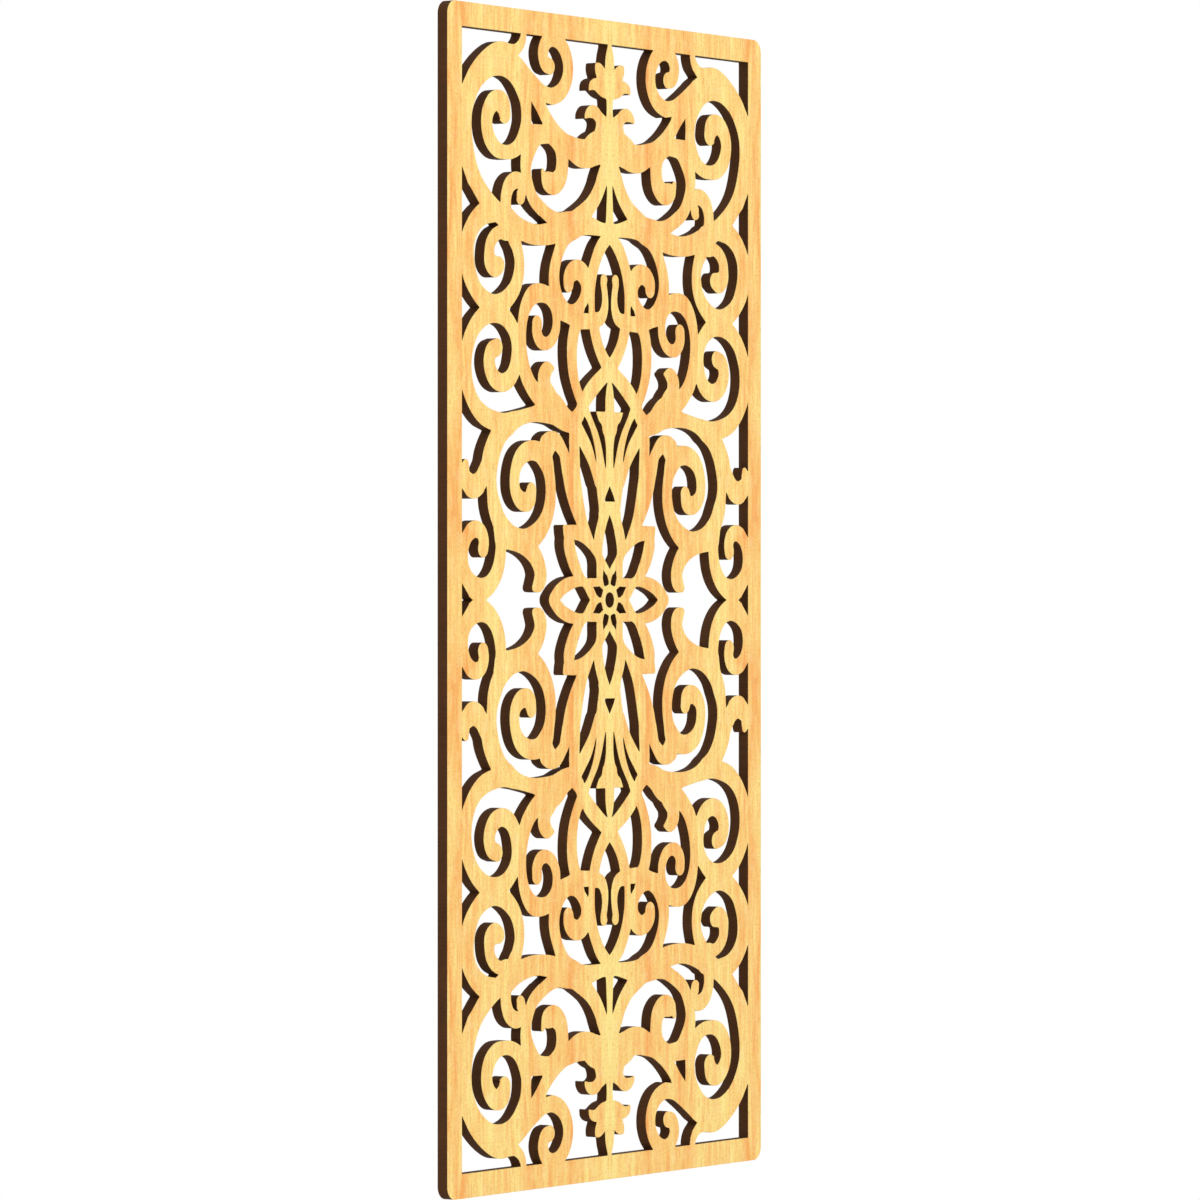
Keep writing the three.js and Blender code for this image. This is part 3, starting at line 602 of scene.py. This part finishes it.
def feed(shader, wires):
    for name, wire in wires.items():
        plugIn(wire.tree, shader.inputs[name], wire)


# The wood of both faces. The figure is the same on the back, its finish isn't
veneer = {
    "bands": [             # place across the half panel, and how yellow the wood is there
        (0.0, 0.84), (0.05, 0.74), (0.117, 0.57), (0.15, 0.66), (0.19, 0.44), (0.25, 0.24), (0.29, 0.45),
        (0.34, 0.54), (0.385, 0.4), (0.43, 0.45), (0.51, 0.4), (0.57, 0.65), (0.69, 0.69), (0.8, 0.67),
        (0.88, 0.55), (0.95, 0.42), (1.0, 0.5),
    ],
    "waver": 0.01,         # how far the bands wander, in metres
    # Fibres: how fine they are across and up, per metre, and how strong. The last also roughens
    "streaks": [(26, 5, 0.7), (62, 8, 0.85), (125, 12, 0.85), (220, 20, 1.1), (640, 16, 0.3)],
    "dapple": 0.8,
    "figure": 0.5,         # the contour lines, strongest towards the sides
    "figureLines": 26,     # per metre
    "figureSway": 5,       # how many lines they stray by
    "pore": 0.45,
    "poreLevel": 0.58,     # a pore is where its noise is above this
    "poreEdge": 7,         # how quickly it darkens from there
    "poreTone": (222, 138, 62),
    "fleck": 1.7,
    "fleckTone": (228, 168, 76),
    "mottle": 1.5,
    "mottleTone": (255, 228, 168),
    "show": {
        "yellow": (251, 229, 136), "orange": (246, 166, 76), "contrast": 1.0, "roughness": 0.5, "coat": 0.12,
    },
    "back": {
        "yellow": (226, 196, 136), "orange": (214, 164, 108), "contrast": 1.3, "roughness": 0.68, "coat": 0,
    },
    # Each pattern's noise: how fine it is across and up, per metre, and its layer
    "waverNoise": (5, 2.6, 3),
    "dappleNoise": (290, 420, 151),
    "figureNoise": (7, 3.4, 91),
    "poreNoise": (430, 60, 97),
    "fleckNoise": (250, 330, 171),
    "mottleNoise": (70, 50, 191),
    "bump": 0.0004,        # the depth of fibres and pores, in metres
    "bumpStrength": 0.12,
    "fibreRelief": 0.6,
    "poreRelief": 0.5,
    "fibreRoughness": 0.12,
    "poreRoughness": 0.08,
    "coatRoughness": 0.35,
    "specular": 0.35,
}


def veneerMaterial(name, finish):
    # Book-matched veneer: the figure is mirrored about both middle lines
    material, shader, x, _, z = startMaterial(name)
    halfWidth = board["width"] / 2000
    across = abs(x)
    up = abs(z - boardMiddle)

    def pattern(kind, **settings):
        acrossScale, upScale, layer = veneer[kind]
        return across.noise(across * acrossScale, layer, up * upScale, **settings)

    moved = across + (pattern("waverNoise", detail=3) - 0.5) * (2 * veneer["waver"])
    tone = (moved / halfWidth).clipped().ramp(veneer["bands"])
    for number, (fine, long, strength) in enumerate(veneer["streaks"]):
        fibre = across.noise(moved * fine, 11 + 12 * number, up * long, detail=1, roughness=0.6) - 0.5
        tone = tone + fibre * strength
    tone = tone + (pattern("dappleNoise", detail=1) - 0.5) * veneer["dapple"]
    rings = moved * veneer["figureLines"] + pattern("figureNoise", detail=1) * veneer["figureSway"]
    line = 1 - abs(rings.maths("FRACT") - 0.5) * 2
    towardSides = (across / halfWidth).clipped() ** 4 * 0.9 + 0.1
    tone = tone - (line ** 4 - 0.2) * towardSides * veneer["figure"]  # 0.2 is the lines' mean
    colour = tone.clipped().tint(linear(*finish["orange"]), linear(*finish["yellow"]))

    # Dark pores, darker flecks and pale mottling, each over the last
    pore = ((pattern("poreNoise", detail=1) - veneer["poreLevel"]) * veneer["poreEdge"]).clipped()
    fleck = pattern("fleckNoise", detail=2, roughness=0.6) - 0.5
    mottle = pattern("mottleNoise", detail=3, roughness=0.7) - 0.5
    for spots, strength, spotTone in (
        (pore, veneer["pore"] * finish["contrast"], veneer["poreTone"]),
        (fleck, veneer["fleck"], veneer["fleckTone"]),
        (mottle, veneer["mottle"] * finish["contrast"], veneer["mottleTone"]),
    ):
        colour = (spots * strength).clipped().tint(colour, linear(*spotTone))
    wear = fibre * veneer["fibreRoughness"] + pore * veneer["poreRoughness"]
    roughness = (wear + finish["roughness"]).clipped()
    height = fibre * veneer["fibreRelief"] - pore * veneer["poreRelief"]
    relief = height.bump(veneer["bumpStrength"], veneer["bump"])
    feed(shader, {"Base Color": colour, "Roughness": roughness, "Normal": relief})
    shader.inputs["Coat Weight"].default_value = finish["coat"]
    shader.inputs["Coat Roughness"].default_value = veneer["coatRoughness"]
    shader.inputs["Specular IOR Level"].default_value = veneer["specular"]
    return material


# The dark stained walls of the cuts
cutWall = {
    "brown": (61, 36, 16),
    "lighter": (92, 58, 33),
    "lightness": 0.35,     # how far the usual tone is from brown to lighter
    "strokes": 0.7,        # the saw's strokes, across the board
    "stain": 0.6,
    "layers": 0.25,        # the wood's layers, along the board
    "strokeScale": 420,    # all scales are per metre
    "strokeScaleThrough": 35,
    "stainScale": 30,
    "layerScale": 6,
    "layerScaleThrough": 900,
    "roughness": 0.75,
    "strokeRoughness": 0.2,
    "bump": 0.0003,
    "bumpStrength": 0.15,
    "specular": 0.08,
}


def cutWallMaterial(name):
    material, shader, x, y, z = startMaterial(name)

    def pattern(scale, throughScale, **settings):
        # Noise about zero; the board's thickness, y, has a scale of its own
        return x.noise(x * scale, y * throughScale, z * scale, **settings) - 0.5

    strokes = pattern(cutWall["strokeScale"], cutWall["strokeScaleThrough"], roughness=0.6)
    stain = pattern(cutWall["stainScale"], cutWall["stainScale"])
    layers = pattern(cutWall["layerScale"], cutWall["layerScaleThrough"], detail=1)
    tone = strokes * cutWall["strokes"] + stain * cutWall["stain"] + layers * cutWall["layers"]
    tone = (tone + cutWall["lightness"]).clipped()
    colour = tone.tint(linear(*cutWall["brown"]), linear(*cutWall["lighter"]))
    roughness = (strokes * cutWall["strokeRoughness"] + cutWall["roughness"]).clipped()
    relief = strokes.bump(cutWall["bumpStrength"], cutWall["bump"])
    feed(shader, {"Base Color": colour, "Roughness": roughness, "Normal": relief})
    shader.inputs["Specular IOR Level"].default_value = cutWall["specular"]
    return material


def sawTree(front, back, wall):
    # Turns the flat outline into the sawn board: walls, a fine arris and both faces
    tree = bpy.data.node_groups.new("sawnBoard", "GeometryNodeTree")
    panel = tree.interface
    panel.new_socket("Outline", in_out="INPUT", socket_type="NodeSocketGeometry")
    for name in ("Thickness", "Arris", "Drop"):
        panel.new_socket(name, in_out="INPUT", socket_type="NodeSocketFloat")
    for name in ("Show Face", "Back Face", "Cut Wall"):
        panel.new_socket(name, in_out="INPUT", socket_type="NodeSocketMaterial")
    panel.new_socket("Board", in_out="OUTPUT", socket_type="NodeSocketGeometry")
    given = tree.nodes.new("NodeGroupInput").outputs

    def node(kind, *plugs, settings=None, **named):
        # Makes a node; its inputs are given in order or by name
        made = tree.nodes.new(kind)
        for name, value in (settings or {}).items():
            setattr(made, name, value)
        for plug, value in zip(made.inputs, plugs):
            plugIn(tree, plug, value)
        for name, value in named.items():
            plugIn(tree, made.inputs[name], value)
        return made

    def maths(operation, *values):
        return node("ShaderNodeMath", *values, settings={"operation": operation}).outputs[0]

    def upward(height):
        return node("ShaderNodeCombineXYZ", 0, 0, height).outputs[0]

    def extruded(mesh, edges, height):
        named = {"Offset": upward(height)}
        if edges:
            named["Selection"] = edges
        return node("GeometryNodeExtrudeMesh", mesh, settings={"mode": "EDGES"}, **named).outputs

    def filled(curve):
        return node("GeometryNodeFillCurve", curve, settings={"mode": "TRIANGLES"}).outputs[0]

    vectors = {"data_type": "FLOAT_VECTOR"}
    scaling = {"operation": "SCALE"}
    inward = node("GeometryNodeInputNamedAttribute", "towardWood", settings=vectors).outputs[0]
    inset = node("ShaderNodeVectorMath", inward, settings=scaling, Scale=given["Arris"]).outputs[0]
    walls = extruded(given["Outline"], None, maths("SUBTRACT", given["Thickness"], given["Arris"]))
    arris = extruded(walls["Mesh"], walls["Top"], given["Arris"])
    rim = node("GeometryNodeSetPosition", arris["Mesh"], arris["Top"], Offset=inset).outputs[0]

    # The two faces fill the outline, the show face after its inset
    curve = node("GeometryNodeMeshToCurve", given["Outline"]).outputs[0]
    insetCurve = node("GeometryNodeSetPosition", curve, Offset=inset).outputs[0]
    backFace = node("GeometryNodeFlipFaces", filled(curve)).outputs[0]
    thickness = upward(given["Thickness"])
    showFace = node("GeometryNodeSetPosition", filled(insetCurve), Offset=thickness).outputs[0]
    joined = node("GeometryNodeJoinGeometry")
    for piece in (rim, backFace, showFace):
        tree.links.new(piece, joined.inputs[0])
    closed = node("GeometryNodeMergeByDistance", joined.outputs[0], Distance=board["weld"] / 1000).outputs[0]

    # Stood up, show face towards -Y, and moved so that the top rail is at the origin
    flat = node("ShaderNodeSeparateXYZ", node("GeometryNodeInputPosition").outputs[0]).outputs
    depth = maths("MULTIPLY", flat[2], -1)
    height = maths("ADD", flat[1], given["Drop"])
    upright = node("ShaderNodeCombineXYZ", flat[0], depth, height).outputs[0]
    stood = node("GeometryNodeSetPosition", closed, Position=upright).outputs[0]

    # The material goes by which way a face looks. The arris, at a slant, is of the show face
    facing = node("ShaderNodeSeparateXYZ", node("GeometryNodeInputNormal").outputs[0]).outputs[1]
    isBack = maths("GREATER_THAN", facing, 0.9)
    isWall = maths("LESS_THAN", maths("ABSOLUTE", facing), 0.3)
    real = node("GeometryNodeRealizeInstances", stood).outputs[0]
    dressed = node("GeometryNodeSetMaterial", real, Material=given["Show Face"]).outputs[0]
    dressed = node("GeometryNodeSetMaterial", dressed, isBack, Material=given["Back Face"]).outputs[0]
    dressed = node("GeometryNodeSetMaterial", dressed, isWall, Material=given["Cut Wall"]).outputs[0]
    tree.links.new(dressed, tree.nodes.new("NodeGroupOutput").inputs[0])

    values = {
        "Thickness": board["thickness"] / 1000,
        "Arris": board["arris"] / 1000,
        "Drop": boardMiddle,
        "Show Face": front,
        "Back Face": back,
        "Cut Wall": wall,
    }
    sockets = {item.name: item.identifier for item in panel.items_tree if item.in_out == "INPUT"}
    return tree, {sockets[name]: value for name, value in values.items()}


def sawnGrille():
    front = veneerMaterial("varnishedVeneer", veneer["show"])
    back = veneerMaterial("bareBackVeneer", veneer["back"])
    wall = cutWallMaterial("stainedCutWall")
    outline = outlineObject()
    outline.data.materials.append(front)
    tree, values = sawTree(front, back, wall)
    modifier = outline.modifiers.new("saw", "NODES")
    modifier.node_group = tree
    for identifier, value in values.items():
        modifier[identifier] = value
    evaluated = outline.evaluated_get(bpy.context.evaluated_depsgraph_get())
    mesh = bpy.data.meshes.new_from_object(evaluated)
    mesh.name = "sawnGrille"
    outline.modifiers.remove(modifier)
    bpy.data.objects.remove(outline)
    mesh.attributes.remove(mesh.attributes["towardWood"])
    while mesh.materials[0] is None:
        mesh.materials.pop(index=0)

    # All faces turned outward, and a count of edges that would leave a gap
    shell = bmesh.new()
    shell.from_mesh(mesh)
    bmesh.ops.recalc_face_normals(shell, faces=shell.faces)
    openEdges = sum(1 for edge in shell.edges if len(edge.link_faces) != 2)
    shell.to_mesh(mesh)
    shell.free()
    mesh.polygons.foreach_set("use_smooth", [True] * len(mesh.polygons))
    mesh.set_sharp_from_angle(angle=math.radians(board["sharpTurn"]))
    grille = bpy.data.objects.new("sawnGrille", mesh)
    bpy.context.scene.collection.objects.link(grille)
    triangles = sum(len(face.vertices) - 2 for face in mesh.polygons)
    print("grille:", triangles, "triangles,", openEdges, "open edges,", mesh.materials.keys())
    return grille


grille = sawnGrille()
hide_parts("fretwork_board")
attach(grille, "root")
print("grille dressed")

# Floor, light and camera, in metres
stage = {
    "floorDrop": 0.35,      # below the grille's lowest edge
    "floorReach": 2.0,
    "floorTone": (244, 243, 240),
    "floorShade": 0.97,     # the darker of its two tones, as a share
    "speckScale": 9,
    "floorRoughness": 0.8,
    "skyStrength": 1.0,
    "keyEnergy": 12,
    "keySize": 2.5,
    "keyPlace": (-1.2, -3.0, 1.0),
    "cameraPlace": (-5.651, -3.907, -0.617),
    "cameraAim": (0.8225, 0.5688, 0),
    "lens": 189.3,
    "sensorWidth": 36,
    "shift": 0.0005,
}


def floorPlate():
    reach = stage["floorReach"]
    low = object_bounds()[0][2] - stage["floorDrop"]
    corners = [(-reach, -reach, low), (reach, -reach, low), (reach, reach, low), (-reach, reach, low)]
    mesh = bpy.data.meshes.new("paleFloor")
    mesh.from_pydata(corners, [], [(0, 1, 2, 3)])
    material, shader, x, y, _ = startMaterial("paleFloor")
    pale = linear(*stage["floorTone"])
    shade = (*[stage["floorShade"] * channel for channel in pale[:3]], 1)
    speck = x.noise(x * stage["speckScale"], y * stage["speckScale"], 0, detail=3)
    feed(shader, {"Base Color": speck.tint(pale, shade)})
    shader.inputs["Roughness"].default_value = stage["floorRoughness"]
    mesh.materials.append(material)
    floor = bpy.data.objects.new("paleFloor", mesh)
    bpy.context.scene.collection.objects.link(floor)


def aimAlong(thing, direction):
    thing.rotation_euler = direction.to_track_quat("-Z", "Y").to_euler()
    bpy.context.scene.collection.objects.link(thing)


def softLight():
    scene = bpy.context.scene
    scene.view_settings.view_transform = "Standard"
    world = bpy.data.worlds.new("studioSky")
    world.use_nodes = True
    sky = world.node_tree.nodes["Background"]
    sky.inputs["Color"].default_value = (1, 1, 1, 1)
    sky.inputs["Strength"].default_value = stage["skyStrength"]
    scene.world = world
    key = bpy.data.lights.new("softKey", "AREA")
    key.size = stage["keySize"]
    key.energy = stage["keyEnergy"]
    lamp = bpy.data.objects.new("softKey", key)
    lamp.location = stage["keyPlace"]
    aimAlong(lamp, Vector((0, 0, boardMiddle)) - lamp.location)


def photoCamera():
    lens = bpy.data.cameras.new("photoCamera")
    lens.sensor_width = stage["sensorWidth"]
    lens.sensor_fit = "HORIZONTAL"
    lens.lens = stage["lens"]
    lens.shift_x = stage["shift"]
    camera = bpy.data.objects.new("photoCamera", lens)
    camera.location = stage["cameraPlace"]
    aimAlong(camera, Vector(stage["cameraAim"]))
    bpy.context.scene.camera = camera


floorPlate()
softLight()
photoCamera()
print("stage set")
